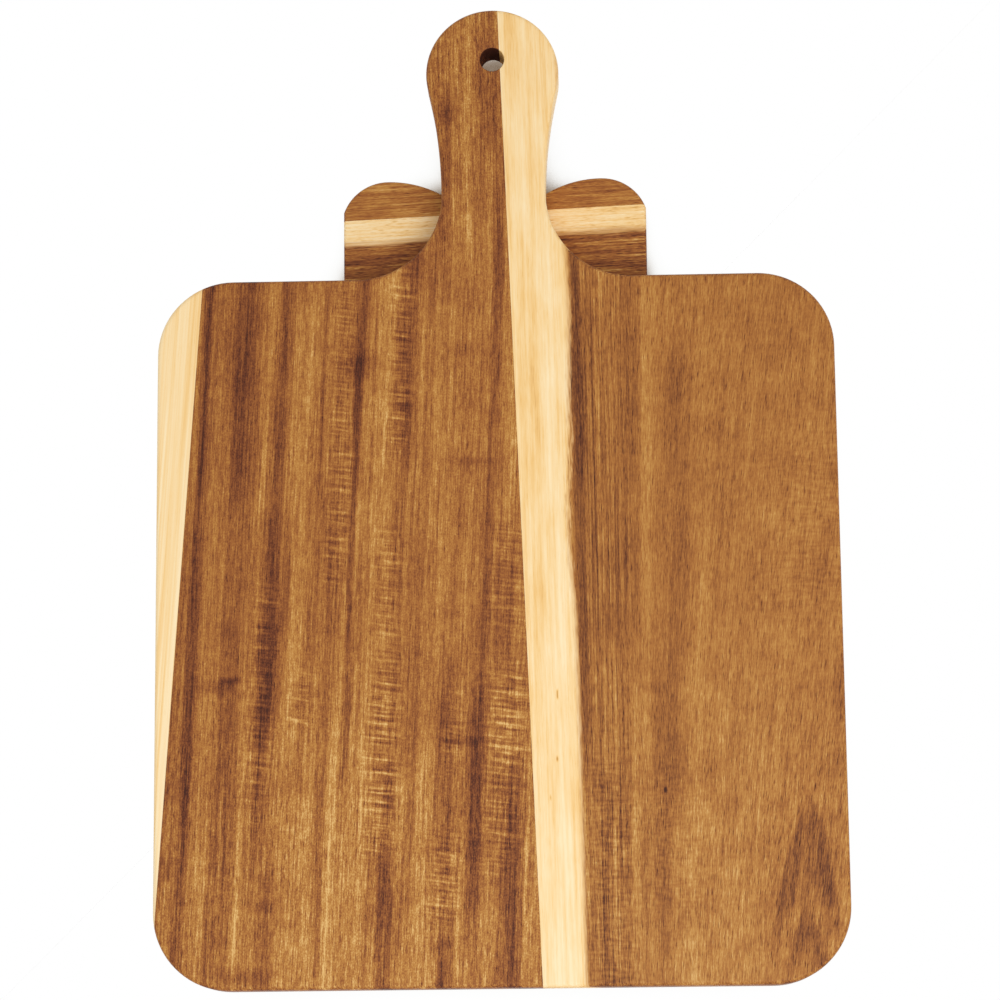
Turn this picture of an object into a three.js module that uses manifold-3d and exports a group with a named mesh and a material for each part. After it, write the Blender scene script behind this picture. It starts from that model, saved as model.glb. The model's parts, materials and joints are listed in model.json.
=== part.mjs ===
// A rimless serving tray of edge-glued acacia with a paddle handle, a hanging hole and two folding legs.
// Millimetres, +Z up, handle towards +Y. The tray lies on its folded legs: their outer faces are at z = 0.
// The origin is under the middle of the whole length, on the surface that the tray lies on.
import * as THREE from 'three';
import { mergeVertices } from 'three/addons/utils/BufferGeometryUtils.js';
import Module from 'manifold-3d';

// Board
const boardWidth = 305;
const bodyLength = 318;
const boardThickness = 18;
const cornerRadius = 34;
const boardEdgeRound = 2;

// Handle
const handleLength = 126.5; // from the body's top edge to the end of the handle
const neckWidth = 47.4;
const knobSwell = 6.6; // how far the knob stands out past the neck, on each side
const shoulderRadius = 38.8; // hollow between the neck and the body's top edge
const hangingHoleDiameter = 11;
const hangingHoleFromEnd = 24; // hole's centre to the end of the handle

// Glue joints of the board
const glueFilm = 0.15;
const edgeStaveWidth = 20.4; // sapwood wedge at the body's top edge
const edgeStaveRunOut = 16; // where the wedge's joint meets the side, above the bottom edge
const middleJointBottom = 17.9; // right of the middle line at the bottom edge
const middleJointTop = 2.6; // right of the middle line at the end of the handle

// Legs
const legWidth = 139;
const legThickness = 14;
const legHeight = 108; // hinge line to the tips of the feet
const legEdgeRound = 1.5;
const hingeInset = 57; // hinge line to the nearer end of the body
const footInset = 20.4; // tip of a foot to the leg's side
const footDrop = 14.5; // tip of a foot to the corner where it meets the leg's side
const footInnerRadius = 49.8; // round of a foot towards the arch
const archDepth = 13; // top of the arch below the tips of the feet
const rearJointBelowArch = 2.9; // glue joint of the rear leg, at the middle of the leg
const rearJointRise = 5.6; // from the leg's left side to its right side
const frontJointHeight = 56.25; // glue joint of the front leg above the hinge line, at the middle of the leg
const frontJointRise = -4.5;

// Hinges: butt hinges with rolled knuckles, let into the board and the leg
const hingeLength = 38;
const hingeFromSide = 5.5; // end of a hinge to the leg's side
const leafReach = 12.5; // pin's axis to the leaf's free edge
const leafThickness = 1.2;
const pinDiameter = 2.4;
const pinClearance = 0.1; // round the pin, in the knuckles
const knuckleCount = 5;
const knuckleGap = 0.3; // between a knuckle and the other leaf
const mortiseGap = 0.3; // round the leaves and the barrel
const seatGap = 0.1; // under a leaf or a magnet
const foldedGap = 0.5; // between the folded leg and the board
const stopGap = 0.3; // between the end of the upright leg and the board

// Countersunk wood screws
const screwLength = 10;
const screwDiameter = 2.5;
const screwHeadDiameter = 4.8;
const screwHeadRim = 0.15;
const screwTip = 2.4;
const screwFromEnd = 8; // screw's centre to the end of the leaf
const screwFit = 0.12; // round a screw, in its leaf and its pilot hole

// Disc magnets that hold the folded legs
const magnetDiameter = 8;
const magnetThickness = 3;
const magnetFromHinge = 40;
const magnetFit = 0.12;

// Fineness of the round shapes
const outlineSegments = 8; // half the number of steps in each arc of an outline
const roundOverSteps = 2;
const holeSides = 32;
const barrelSides = 16;
const screwSides = 12;

const overallLength = bodyLength + handleLength;
const bottomEdge = -overallLength / 2;
const bodyTop = bottomEdge + bodyLength;
const handleEnd = bottomEdge + overallLength;
const boardBottom = legThickness + foldedGap;
const boardTop = boardBottom + boardThickness;
const hingeLevel = legThickness + foldedGap / 2;
const woodFace = foldedGap / 2; // from the hinge line to the board's underside and to the leg's inner face
const boreRadius = pinDiameter / 2 + pinClearance;
const barrelRadius = boreRadius + leafThickness;
const leafFace = boreRadius; // from the hinge line to the face of a leaf
const plateStart = barrelRadius + knuckleGap; // where a leaf's plate clears the other leaf's knuckles
const past = 10; // how far a cutting shape runs past what it cuts
const quarter = Math.PI / 2;

// The two hinge lines, with the height of each leg's glue joint. Both legs fold towards the handle.
const legs = [
  {
    name: 'rear',
    line: bodyTop - hingeInset,
    joint: legHeight - archDepth - rearJointBelowArch,
    rise: rearJointRise,
  },
  {
    name: 'front',
    line: bottomEdge + hingeInset,
    joint: frontJointHeight,
    rise: frontJointRise,
  },
];

// A leg's two hinges, and the two screws of each leaf across the hinge and out from its pin.
const hingeAcross = legWidth / 2 - hingeFromSide - hingeLength / 2;
const hinges = [
  { side: 'left', across: -hingeAcross },
  { side: 'right', across: hingeAcross },
];
const screwAcross = hingeLength / 2 - screwFromEnd;
const screwOut = (plateStart + leafReach) / 2;
const screwPlaces = [[-screwAcross, screwOut], [screwAcross, screwOut]];

const heartwood = new THREE.MeshStandardMaterial({ color: '#9a6231', roughness: 0.55, metalness: 0 });
const sapwood = new THREE.MeshStandardMaterial({ color: '#f0d3a0', roughness: 0.55, metalness: 0 });
const brass = new THREE.MeshStandardMaterial({ color: '#b5924c', roughness: 0.35, metalness: 1 });
const steel = new THREE.MeshStandardMaterial({ color: '#b9b9b6', roughness: 0.3, metalness: 1 });
const nickel = new THREE.MeshStandardMaterial({ color: '#cfd1d2', roughness: 0.2, metalness: 1 });

const wasm = await Module();
wasm.setup();

// A closed geometry as a solid that can be cut and joined.
function solidFrom(geometry) {
  const bare = geometry.index ? geometry.toNonIndexed() : geometry.clone();
  bare.deleteAttribute('normal');
  bare.deleteAttribute('uv');
  const merged = mergeVertices(bare, 1e-4);
  const vertProperties = new Float32Array(merged.attributes.position.array);
  const triVerts = new Uint32Array(merged.index.array);
  return new wasm.Manifold(new wasm.Mesh({ numProp: 3, vertProperties, triVerts }));
}

function named(name, geometry, material) {
  const mesh = new THREE.Mesh(geometry, material);
  mesh.name = name;
  return mesh;
}

// A cut solid as a named mesh of the scene.
function meshFrom(name, solid, material) {
  const { vertProperties, triVerts } = solid.getMesh();
  const geometry = new THREE.BufferGeometry();
  geometry.setAttribute('position', new THREE.BufferAttribute(new Float32Array(vertProperties), 3));
  geometry.setIndex(new THREE.BufferAttribute(new Uint32Array(triVerts), 1));
  geometry.computeVertexNormals();
  return named(name, geometry, material);
}

function box(low, high) {
  const size = high.map((value, i) => value - low[i]);
  const middle = high.map((value, i) => (value + low[i]) / 2);
  return solidFrom(new THREE.BoxGeometry(...size).translate(...middle));
}

// A round bar along Z between two levels.
function roundBar(radius, from, to, sides) {
  const bar = new THREE.CylinderGeometry(radius, radius, to - from, sides);
  return bar.rotateX(quarter).translate(0, 0, (from + to) / 2);
}

// A plank with a quarter-round along every outside edge, its lower face at z = 0.
function plank(outline, thickness, edgeRound) {
  const blank = new THREE.ExtrudeGeometry(outline, {
    depth: thickness - 2 * edgeRound,
    curveSegments: outlineSegments,
    bevelThickness: edgeRound,
    bevelSize: edgeRound,
    bevelOffset: -edgeRound,
    bevelSegments: roundOverSteps,
  });
  return solidFrom(blank.translate(0, 0, edgeRound));
}

// A glue joint: the straight line through two points, carried on past both and moved by a shift.
function glueJoint(a, b, shift) {
  const ends = [new THREE.Vector2().lerpVectors(a, b, -1), new THREE.Vector2().lerpVectors(a, b, 2)];
  return ends.map((end) => end.add(shift));
}

// The stretch of a plank between two glue joints, as a prism that runs past both faces of the plank.
function between(jointA, jointB, low, high) {
  const outline = new THREE.Shape([jointA[0], jointA[1], jointB[1], jointB[0]]);
  const prism = new THREE.ExtrudeGeometry(outline, { depth: high - low + 2 * past, bevelEnabled: false });
  return solidFrom(prism.translate(0, 0, low - past));
}

// The board's outline: a body with four round corners, hollow shoulders, a waisted neck and a round knob.
function boardOutline() {
  const side = boardWidth / 2;
  const neck = neckWidth / 2;
  const knobRadius = neck + knobSwell;
  const knobCentre = handleEnd - knobRadius;
  const neckLevel = bodyTop + shoulderRadius;
  const rise = knobCentre - neckLevel;
  const waistRadius = (neck ** 2 + rise ** 2 - knobRadius ** 2) / (2 * knobSwell);
  const waistAngle = Math.atan2(rise, neck + waistRadius); // where the waist runs into the knob
  const cornerX = side - cornerRadius;
  const outline = new THREE.Shape();
  outline.moveTo(-cornerX, bottomEdge);
  outline.lineTo(cornerX, bottomEdge);
  outline.absarc(cornerX, bottomEdge + cornerRadius, cornerRadius, -quarter, 0);
  outline.lineTo(side, bodyTop - cornerRadius);
  outline.absarc(cornerX, bodyTop - cornerRadius, cornerRadius, 0, quarter);
  outline.lineTo(neck + shoulderRadius, bodyTop);
  outline.absarc(neck + shoulderRadius, neckLevel, shoulderRadius, -quarter, -2 * quarter, true);
  outline.absarc(neck + waistRadius, neckLevel, waistRadius, 2 * quarter, 2 * quarter - waistAngle, true);
  outline.absarc(0, knobCentre, knobRadius, -waistAngle, quarter);
  outline.absarc(0, knobCentre, knobRadius, quarter, 2 * quarter + waistAngle);
  outline.absarc(-neck - waistRadius, neckLevel, waistRadius, waistAngle, 0, true);
  outline.absarc(-neck - shoulderRadius, neckLevel, shoulderRadius, 0, -quarter, true);
  outline.lineTo(-cornerX, bodyTop);
  outline.absarc(-cornerX, bodyTop - cornerRadius, cornerRadius, quarter, 2 * quarter);
  outline.lineTo(-side, bottomEdge + cornerRadius);
  outline.absarc(-cornerX, bottomEdge + cornerRadius, cornerRadius, 2 * quarter, 3 * quarter);
  return outline;
}

// A leg's outline, from the hinge line at y = 0: straight sides, two round feet and an arch between them.
function legOutline() {
  const side = legWidth / 2;
  const end = stopGap - woodFace; // the end face just clears the board when the leg stands upright
  const tip = side - footInset;
  const outerRadius = (footInset ** 2 + footDrop ** 2) / (2 * footDrop);
  const outerCentre = legHeight - outerRadius;
  const innerCentre = legHeight - footInnerRadius;
  const archRadius = (tip ** 2 + archDepth ** 2) / (2 * archDepth) - footInnerRadius;
  const archCentre = legHeight - archDepth + archRadius;
  const sideAngle = Math.atan2(outerRadius - footDrop, footInset); // where a foot meets the leg's side
  const turn = Math.atan2(archCentre - innerCentre, tip); // where a foot runs into the arch
  const outline = new THREE.Shape();
  outline.moveTo(-side, end);
  outline.lineTo(side, end);
  outline.lineTo(side, legHeight - footDrop);
  outline.absarc(tip, outerCentre, outerRadius, sideAngle, quarter);
  outline.absarc(tip, innerCentre, footInnerRadius, quarter, 2 * quarter - turn);
  outline.absarc(0, archCentre, archRadius, -turn, turn - 2 * quarter, true);
  outline.absarc(-tip, innerCentre, footInnerRadius, turn, quarter);
  outline.absarc(-tip, outerCentre, outerRadius, quarter, 2 * quarter - sideAngle);
  return outline;
}

// A countersunk screw along +Z with its head's face at z = 0. The hole that it sits in is the same shape
// grown by a fit, with the head's part carried out through the face.
function screwGeometry(fit, out) {
  const head = screwHeadDiameter / 2 + fit;
  const shank = screwDiameter / 2 + fit;
  const end = screwLength + fit;
  const profile = [
    new THREE.Vector2(0, -out),
    new THREE.Vector2(head, -out),
    new THREE.Vector2(head, screwHeadRim),
    new THREE.Vector2(shank, screwHeadRim + head - shank),
    new THREE.Vector2(shank, end - screwTip),
    new THREE.Vector2(0, end),
  ];
  return new THREE.LatheGeometry(profile, screwSides).rotateX(quarter);
}

function screwHole(across, out) {
  return solidFrom(screwGeometry(screwFit, past).translate(across, out, leafFace));
}

// One leaf of a hinge, pin along X, plate towards +Y and let in towards +Z.
// It has every second knuckle, counted from -X.
function leafSolid(firstKnuckle) {
  const half = hingeLength / 2;
  const pitch = hingeLength / knuckleCount;
  let leaf = box([-half, plateStart, leafFace], [half, leafReach, barrelRadius]);
  for (let k = firstKnuckle; k < knuckleCount; k += 2) {
    const from = -half + k * pitch + (k > 0 ? knuckleGap / 2 : 0);
    const to = -half + (k + 1) * pitch - (k < knuckleCount - 1 ? knuckleGap / 2 : 0);
    const knuckle = solidFrom(roundBar(barrelRadius, from, to, barrelSides).rotateY(quarter));
    const root = box([from, 0, leafFace], [to, leafReach, barrelRadius]);
    leaf = leaf.add(knuckle).add(root);
  }
  const bore = roundBar(boreRadius, -half - past, half + past, barrelSides).rotateY(quarter);
  leaf = leaf.subtract(solidFrom(bore));
  for (const [across, out] of screwPlaces) {
    leaf = leaf.subtract(screwHole(across, out));
  }
  return leaf;
}

// What is cut into the wood over one hinge: the mortise for the leaf and the barrel, and the pilot holes.
// Placed as the leaf is: the wood lies towards +Z from its face.
function hingeCut() {
  const half = hingeLength / 2 + mortiseGap;
  const low = [-half, -barrelRadius - mortiseGap, -past];
  const high = [half, leafReach + mortiseGap, barrelRadius + seatGap];
  let cut = box(low, high);
  for (const [across, out] of screwPlaces) {
    cut = cut.add(screwHole(across, out));
  }
  return cut;
}

// Everything that is let into the board over one leg: two hinges and a magnet. The leg has the same, turned over.
function letIn() {
  const floor = woodFace + magnetThickness + seatGap;
  const pocket = roundBar(magnetDiameter / 2 + magnetFit, -past, floor, holeSides);
  let cut = solidFrom(pocket.translate(0, magnetFromHinge, 0));
  for (const { across } of hinges) {
    cut = cut.add(hingeCut().translate([across, 0, 0]));
  }
  return cut;
}

// The board, cut into its three staves along the glue joints.
function makeBoard() {
  let board = plank(boardOutline(), boardThickness, boardEdgeRound).translate([0, 0, boardBottom]);
  const hole = roundBar(hangingHoleDiameter / 2, boardBottom - past, boardTop + past, holeSides);
  board = board.subtract(solidFrom(hole.translate(0, handleEnd - hangingHoleFromEnd, 0)));
  for (const { line } of legs) {
    board = board.subtract(letIn().translate([0, line, hingeLevel]));
  }
  const side = boardWidth / 2;
  const wedgeEnd = new THREE.Vector2(-side, bottomEdge + edgeStaveRunOut);
  const wedgeTop = new THREE.Vector2(-side + edgeStaveWidth, bodyTop);
  const middleBottom = new THREE.Vector2(middleJointBottom, bottomEdge);
  const middleTop = new THREE.Vector2(middleJointTop, handleEnd);
  const left = new THREE.Vector2(-glueFilm / 2, 0);
  const right = new THREE.Vector2(glueFilm / 2, 0);
  const outside = (x) => [new THREE.Vector2(x, 2 * bottomEdge), new THREE.Vector2(x, 2 * handleEnd)];
  const stave = (name, jointA, jointB, material) =>
    meshFrom(name, board.intersect(between(jointA, jointB, boardBottom, boardTop)), material);
  const wedgeJoint = (shift) => glueJoint(wedgeEnd, wedgeTop, shift);
  const middleJoint = (shift) => glueJoint(middleBottom, middleTop, shift);
  const group = new THREE.Group();
  group.add(stave('board_left_edge_stave', outside(-boardWidth), wedgeJoint(left), sapwood));
  group.add(stave('board_left_stave', wedgeJoint(right), middleJoint(left), heartwood));
  group.add(stave('board_right_stave', middleJoint(right), outside(boardWidth), heartwood));
  return group;
}

// One leg, cut into its hinge stave and its foot stave, seen from its hinge line.
function makeLeg({ name, joint, rise }) {
  const outerFace = -woodFace - legThickness;
  let leg = plank(legOutline(), legThickness, legEdgeRound).translate([0, 0, outerFace]);
  leg = leg.subtract(letIn().rotate([0, 180, 0]));
  const left = new THREE.Vector2(-legWidth / 2, joint - rise / 2);
  const right = new THREE.Vector2(legWidth / 2, joint + rise / 2);
  const down = new THREE.Vector2(0, -glueFilm / 2);
  const up = new THREE.Vector2(0, glueFilm / 2);
  const outside = (y) => [new THREE.Vector2(-2 * legWidth, y), new THREE.Vector2(2 * legWidth, y)];
  const stave = (part, jointA, jointB) =>
    meshFrom(`${name}_leg_${part}_stave`, leg.intersect(between(jointA, jointB, outerFace, 0)), heartwood);
  const group = new THREE.Group();
  group.add(stave('hinge', outside(-legHeight), glueJoint(left, right, down)));
  group.add(stave('foot', glueJoint(left, right, up), outside(2 * legHeight)));
  return group;
}

// The pin runs the length of the barrel, with a small chamfer at both ends.
function makePin(name) {
  const radius = pinDiameter / 2;
  const half = hingeLength / 2;
  const chamfer = radius / 3;
  const profile = [
    new THREE.Vector2(0, -half),
    new THREE.Vector2(radius - chamfer, -half),
    new THREE.Vector2(radius, -half + chamfer),
    new THREE.Vector2(radius, half - chamfer),
    new THREE.Vector2(radius - chamfer, half),
    new THREE.Vector2(0, half),
  ];
  return named(name, new THREE.LatheGeometry(profile, barrelSides).rotateZ(quarter), steel);
}

// A leaf with its two screws, pin along X, let in towards +Z.
function makeLeaf(name, part, firstKnuckle) {
  const group = new THREE.Group();
  group.add(meshFrom(`${name}_${part}_leaf`, leafSolid(firstKnuckle), brass));
  screwPlaces.forEach(([across, out], i) => {
    const screw = named(`${name}_${part}_screw_${i + 1}`, screwGeometry(0, 0), brass);
    screw.position.set(across, out, leafFace);
    group.add(screw);
  });
  return group;
}

// A hinge, folded shut: the board's leaf above the pin, and the leg's leaf turned over below it, so that the
// leg's knuckles fall between the board's.
function makeHinge(name) {
  const group = new THREE.Group();
  const legLeaf = makeLeaf(name, 'leg', knuckleCount % 2);
  legLeaf.rotation.y = Math.PI;
  group.add(makeLeaf(name, 'board', 0), legLeaf, makePin(`${name}_pin`));
  return group;
}

function makeMagnet(name, from) {
  const disc = roundBar(magnetDiameter / 2, from, from + magnetThickness, holeSides);
  return named(name, disc.translate(0, magnetFromHinge, 0), nickel);
}

const tray = new THREE.Group();
tray.add(makeBoard());
for (const leg of legs) {
  const atHinge = new THREE.Group();
  atHinge.position.set(0, leg.line, hingeLevel);
  atHinge.add(makeLeg(leg));
  for (const { side, across } of hinges) {
    const hinge = makeHinge(`${leg.name}_${side}_hinge`);
    hinge.position.x = across;
    atHinge.add(hinge);
  }
  atHinge.add(makeMagnet(`${leg.name}_board_magnet`, woodFace));
  atHinge.add(makeMagnet(`${leg.name}_leg_magnet`, -woodFace - magnetThickness));
  tray.add(atHinge);
}

export default tray;
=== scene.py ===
# A rimless acacia serving tray with a paddle handle, lying on its two folded legs.
# Metres, +Z up, the handle towards +Y. The sections follow the tray as it is glued up, hinged and laid down.
import json
import math

import bmesh
import bpy
from mathutils import Matrix, Vector


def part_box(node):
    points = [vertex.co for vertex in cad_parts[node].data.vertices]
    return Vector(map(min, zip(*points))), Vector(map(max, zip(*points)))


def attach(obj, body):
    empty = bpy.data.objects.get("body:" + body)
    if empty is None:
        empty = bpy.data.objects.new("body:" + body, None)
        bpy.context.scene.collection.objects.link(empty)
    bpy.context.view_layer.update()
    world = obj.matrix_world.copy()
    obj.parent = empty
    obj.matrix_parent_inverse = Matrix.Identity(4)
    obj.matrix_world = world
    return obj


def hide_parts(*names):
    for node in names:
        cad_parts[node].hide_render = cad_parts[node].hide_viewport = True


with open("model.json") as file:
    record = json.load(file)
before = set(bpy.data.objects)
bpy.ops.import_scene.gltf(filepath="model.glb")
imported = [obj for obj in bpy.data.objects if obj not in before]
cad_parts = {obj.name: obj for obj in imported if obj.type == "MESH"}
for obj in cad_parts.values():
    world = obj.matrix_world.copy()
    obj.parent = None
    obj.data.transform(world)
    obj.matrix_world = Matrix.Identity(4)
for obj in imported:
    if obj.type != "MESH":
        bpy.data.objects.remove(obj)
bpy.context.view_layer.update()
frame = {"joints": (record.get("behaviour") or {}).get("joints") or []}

# The board's blank
# Three acacia staves are glued edge to edge, sawn to the paddle outline and rounded over along both faces.
# The hanging hole is drilled through the knob. Mortises for the hinges with their pilot holes, and a pocket
# for each magnet, are cut into the underside.
mm = 0.001
quarter = math.pi / 2
half_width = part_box("board_right_stave")[1].x
bottom_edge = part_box("board_left_stave")[0].y
handle_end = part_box("board_left_stave")[1].y
board_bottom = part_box("board_right_stave")[0].z
board_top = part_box("board_right_stave")[1].z
body_length = 318 * mm
body_top = bottom_edge + body_length
corner_radius = 34 * mm
half_neck = 23.7 * mm
knob_radius = 30.3 * mm
shoulder_radius = 38.8 * mm
board_edge_round = 2 * mm
hole_radius = 5.5 * mm
hole_from_end = 24 * mm
hole_centre = handle_end - hole_from_end
hole_rim_round = 0.5 * mm
hole_overcut = 0.01 * mm  # keeps the drill's rim clear of the board's faces
screw_radius = 1.25 * mm
mortise_gap = 0.3 * mm  # round a leaf
seat_gap = 0.1 * mm  # under a leaf or a magnet
fit_gap = 0.12 * mm  # round a magnet or a screw
past = 5 * mm  # how far a cutting shape runs past the face that it cuts
leg_names = ("rear", "front")
hinge_names = [f"{leg}_{side}_hinge" for leg in leg_names for side in ("left", "right")]


def arc(x, y, radius, start, end, steps):
    """Points of an arc about (x, y), with both ends."""
    turns = [start + (end - start) * i / steps for i in range(steps + 1)]
    return [Vector((x + radius * math.cos(t), y + radius * math.sin(t))) for t in turns]


def with_mirror(right_half):
    """A closed outline from its right half, which ends on the middle line."""
    return right_half + [Vector((-p.x, p.y)) for p in reversed(right_half[:-1])]


def board_outline(inset):
    """The paddle's outline, moved in by the inset, from its lower right corner round."""
    corner_x = half_width - corner_radius
    corner = corner_radius - inset
    neck_level = body_top + shoulder_radius
    knob_centre = handle_end - knob_radius
    rise = knob_centre - neck_level
    waist_radius = (half_neck**2 + rise**2 - knob_radius**2) / (2 * (knob_radius - half_neck))
    turn = math.atan2(rise, half_neck + waist_radius)
    shoulder_x = half_neck + shoulder_radius
    waist_x = half_neck + waist_radius
    return with_mirror([
        *arc(corner_x, bottom_edge + corner_radius, corner, -quarter, 0, 20),
        *arc(corner_x, body_top - corner_radius, corner, 0, quarter, 20),
        *arc(shoulder_x, neck_level, shoulder_radius + inset, -quarter, -2 * quarter, 24),
        *arc(waist_x, neck_level, waist_radius + inset, 2 * quarter, 2 * quarter - turn, 14)[1:],
        *arc(0, knob_centre, knob_radius - inset, -turn, quarter, 40)[1:],
    ])


def round_over(radius, steps):
    """A quarter-round's profile from the face to the side: how far in from the side, and from the face."""
    turns = [quarter * i / steps for i in range(steps + 1)]
    return [(radius * (1 - math.sin(t)), radius * (1 - math.cos(t))) for t in turns]


def placed(name, data):
    """A new object in the scene, at the origin."""
    thing = bpy.data.objects.new(name, data)
    bpy.context.scene.collection.objects.link(thing)
    return thing


def shown(name, shape):
    """A new object at the origin from a bmesh, which is used up."""
    bmesh.ops.recalc_face_normals(shape, faces=shape.faces)
    mesh = bpy.data.meshes.new(name)
    shape.to_mesh(mesh)
    shape.free()
    return placed(name, mesh)


def plank(name, outline, low, high, edge_round):
    """A flat blank, rounded over along both faces. A narrow level lip keeps the faces' shading flat."""
    lip = 0.4 * mm
    edge = [(edge_round + lip, 0), *round_over(edge_round, 6)]
    profile = [(inset, low + up) for inset, up in edge]
    profile += [(inset, high - up) for inset, up in reversed(edge)]
    shape = bmesh.new()
    rings = [[shape.verts.new((p.x, p.y, z)) for p in outline(inset)] for inset, z in profile]
    for lower, upper in zip(rings, rings[1:]):
        for i in range(len(lower)):
            band = shape.faces.new((lower[i - 1], lower[i], upper[i], upper[i - 1]))
            band.smooth = True
    shape.faces.new(rings[0])
    shape.faces.new(rings[-1])
    return shown(name, shape)


def lathe(shape, profile, steps, place):
    """Adds a turned form to a bmesh: its profile is radius and height, and starts and ends on the axis."""
    rings = []
    for radius, height in profile:
        points = arc(0, 0, radius, 0, 4 * quarter, steps)[1:] if radius else [Vector((0, 0))]
        rings.append([shape.verts.new(place @ Vector((p.x, p.y, height))) for p in points])
    for lower, upper in zip(rings, rings[1:]):
        for i in range(steps):
            corners = ((lower, i), (lower, i + 1), (upper, i + 1), (upper, i))
            corners = [ring[j % len(ring)] for ring, j in corners]
            shape.faces.new(dict.fromkeys(corners)).smooth = True


def bar(shape, radius, low, high, steps, x, y):
    """Adds an upright round bar to a bmesh."""
    profile = [(0, low), (radius, low), (radius, high), (0, high)]
    lathe(shape, profile, steps, Matrix.Translation((x, y, 0)))


def block(shape, low, high):
    """Adds a box between two corners to a bmesh."""
    size = Matrix.Diagonal((*(high - low), 1))
    bmesh.ops.create_cube(shape, size=1, matrix=Matrix.Translation((low + high) / 2) @ size)


def settle(piece):
    """Turns the result of a piece's modifiers into its plain mesh."""
    whole = bpy.context.evaluated_depsgraph_get()
    settled = bpy.data.meshes.new_from_object(piece.evaluated_get(whole))
    piece.modifiers.clear()
    piece.data = settled
    settled.name = piece.name


def cut_away(piece, cutter):
    """Takes the cutter out of the piece's mesh and deletes the cutter."""
    change = piece.modifiers.new("cut", "BOOLEAN")
    change.operation = "DIFFERENCE"
    change.solver = "EXACT"
    change.object = cutter
    settle(piece)
    bpy.data.objects.remove(cutter)


def cut_seats(piece, part, hinges, magnets, face, inwards):
    """Cuts hinge mortises, pilot holes and magnet pockets into a face, inwards being up (1) or down (-1)."""
    seats = bmesh.new()
    pilots = bmesh.new()
    outside = face - inwards * past
    around = Vector((mortise_gap, mortise_gap, 0))
    for hinge in hinges:
        low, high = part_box(f"{hinge}_{part}_leaf")
        deep = (high.z if inwards > 0 else low.z) + inwards * seat_gap
        ends = sorted((outside, deep))
        block(seats, Vector((*(low - around).xy, ends[0])), Vector((*(high + around).xy, ends[1])))
        for i in (1, 2):
            low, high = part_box(f"{hinge}_{part}_screw_{i}")
            middle = (low + high) / 2
            ends = sorted((deep - inwards * seat_gap * 2, high.z if inwards > 0 else low.z))
            bar(pilots, screw_radius + fit_gap, *ends, 16, middle.x, middle.y)
    for magnet in magnets:
        low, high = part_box(magnet)
        middle = (low + high) / 2
        ends = sorted((outside, (high.z if inwards > 0 else low.z) + inwards * seat_gap))
        bar(seats, (high.x - low.x) / 2 + fit_gap, *ends, 48, middle.x, middle.y)
    cut_away(piece, shown("seats", seats))
    cut_away(piece, shown("pilots", pilots))


board = plank("board", board_outline, board_bottom, board_top, board_edge_round)
hole = bmesh.new()
rim = [(hole_radius + out, up - hole_overcut) for out, up in round_over(hole_rim_round, 5)]
widest = rim[0][0]
hole_profile = [(0, board_bottom - past), (widest, board_bottom - past)]
hole_profile += [(radius, board_bottom + up) for radius, up in rim]
hole_profile += [(radius, board_top - up) for radius, up in reversed(rim)]
hole_profile += [(widest, board_top + past), (0, board_top + past)]
lathe(hole, hole_profile, 64, Matrix.Translation((0, hole_centre, 0)))
cut_away(board, shown("hole", hole))
board_magnets = [f"{leg}_board_magnet" for leg in leg_names]
cut_seats(board, "board", hinge_names, board_magnets, board_bottom, 1)

# The left stave
# A wide stave of rippled heartwood, from the wedge of sapwood to the middle of the tray. Its grain leans a
# little to the right, so dark streaks run out against both glue joints. Sanded fine and oiled.
glue_film = 0.03 * mm
on_the_cut = 1e-7  # a point this close to a saw cut lies on it
crease = math.radians(35)  # edges that turn further than this stay sharp
edge_stave_width = 20.4 * mm  # at the body's top edge
edge_stave_run_out = 16 * mm  # its joint meets the board's side this far above the bottom edge
middle_joint_bottom = 17.9 * mm
middle_joint_top = 2.6 * mm
wedge_joint = [Vector((-half_width, bottom_edge + edge_stave_run_out, 0)),
               Vector((-half_width + edge_stave_width, body_top, 0))]
middle_joint = [Vector((middle_joint_bottom, bottom_edge, 0)), Vector((middle_joint_top, handle_end, 0))]


def stave(blank, name, joints, grain):
    """The part of a blank on the kept side of each glue joint: two points, and the side to cut off."""
    shape = bmesh.new()
    shape.from_mesh(blank.data)
    bmesh.ops.triangulate(shape, faces=shape.faces)
    for (start, end), side in joints:
        along = end - start
        away = Vector((along.y, -along.x, 0)).normalized() * side
        saw = {"plane_co": start - away * glue_film / 2, "plane_no": away, "dist": on_the_cut}
        everything = [*shape.verts, *shape.edges, *shape.faces]
        bmesh.ops.bisect_plane(shape, geom=everything, clear_outer=True, **saw)
        bmesh.ops.holes_fill(shape, edges=[e for e in shape.edges if e.is_boundary])
    piece = shown(name, shape)
    piece.data.set_sharp_from_angle(angle=crease)
    cut_across = piece.data.attributes.new("end_grain", "FLOAT", "CORNER")
    cut_across.data.foreach_set("value", [abs(n.vector.dot(grain)) for n in piece.data.corner_normals])
    return piece


def linear(code):
    """A colour from sRGB hex to linear RGBA."""
    values = [int(code[i:i + 2], 16) / 255 for i in (1, 3, 5)]
    return [v / 12.92 if v <= 0.04045 else ((v + 0.055) / 1.055) ** 2.4 for v in values] + [1]


def add(tree, kind, inputs=None, out=0, **settings):
    """Adds a node with its settings, fills its sockets from values or other nodes, and gives one output."""
    node = tree.nodes.new(kind)
    for name, value in settings.items():
        setattr(node, name, value)
    for socket, value in (inputs or {}).items():
        if isinstance(value, bpy.types.NodeSocket):
            tree.links.new(value, node.inputs[socket])
        else:
            node.inputs[socket].default_value = value
    return node.outputs[out] if len(node.outputs) else node


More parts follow.
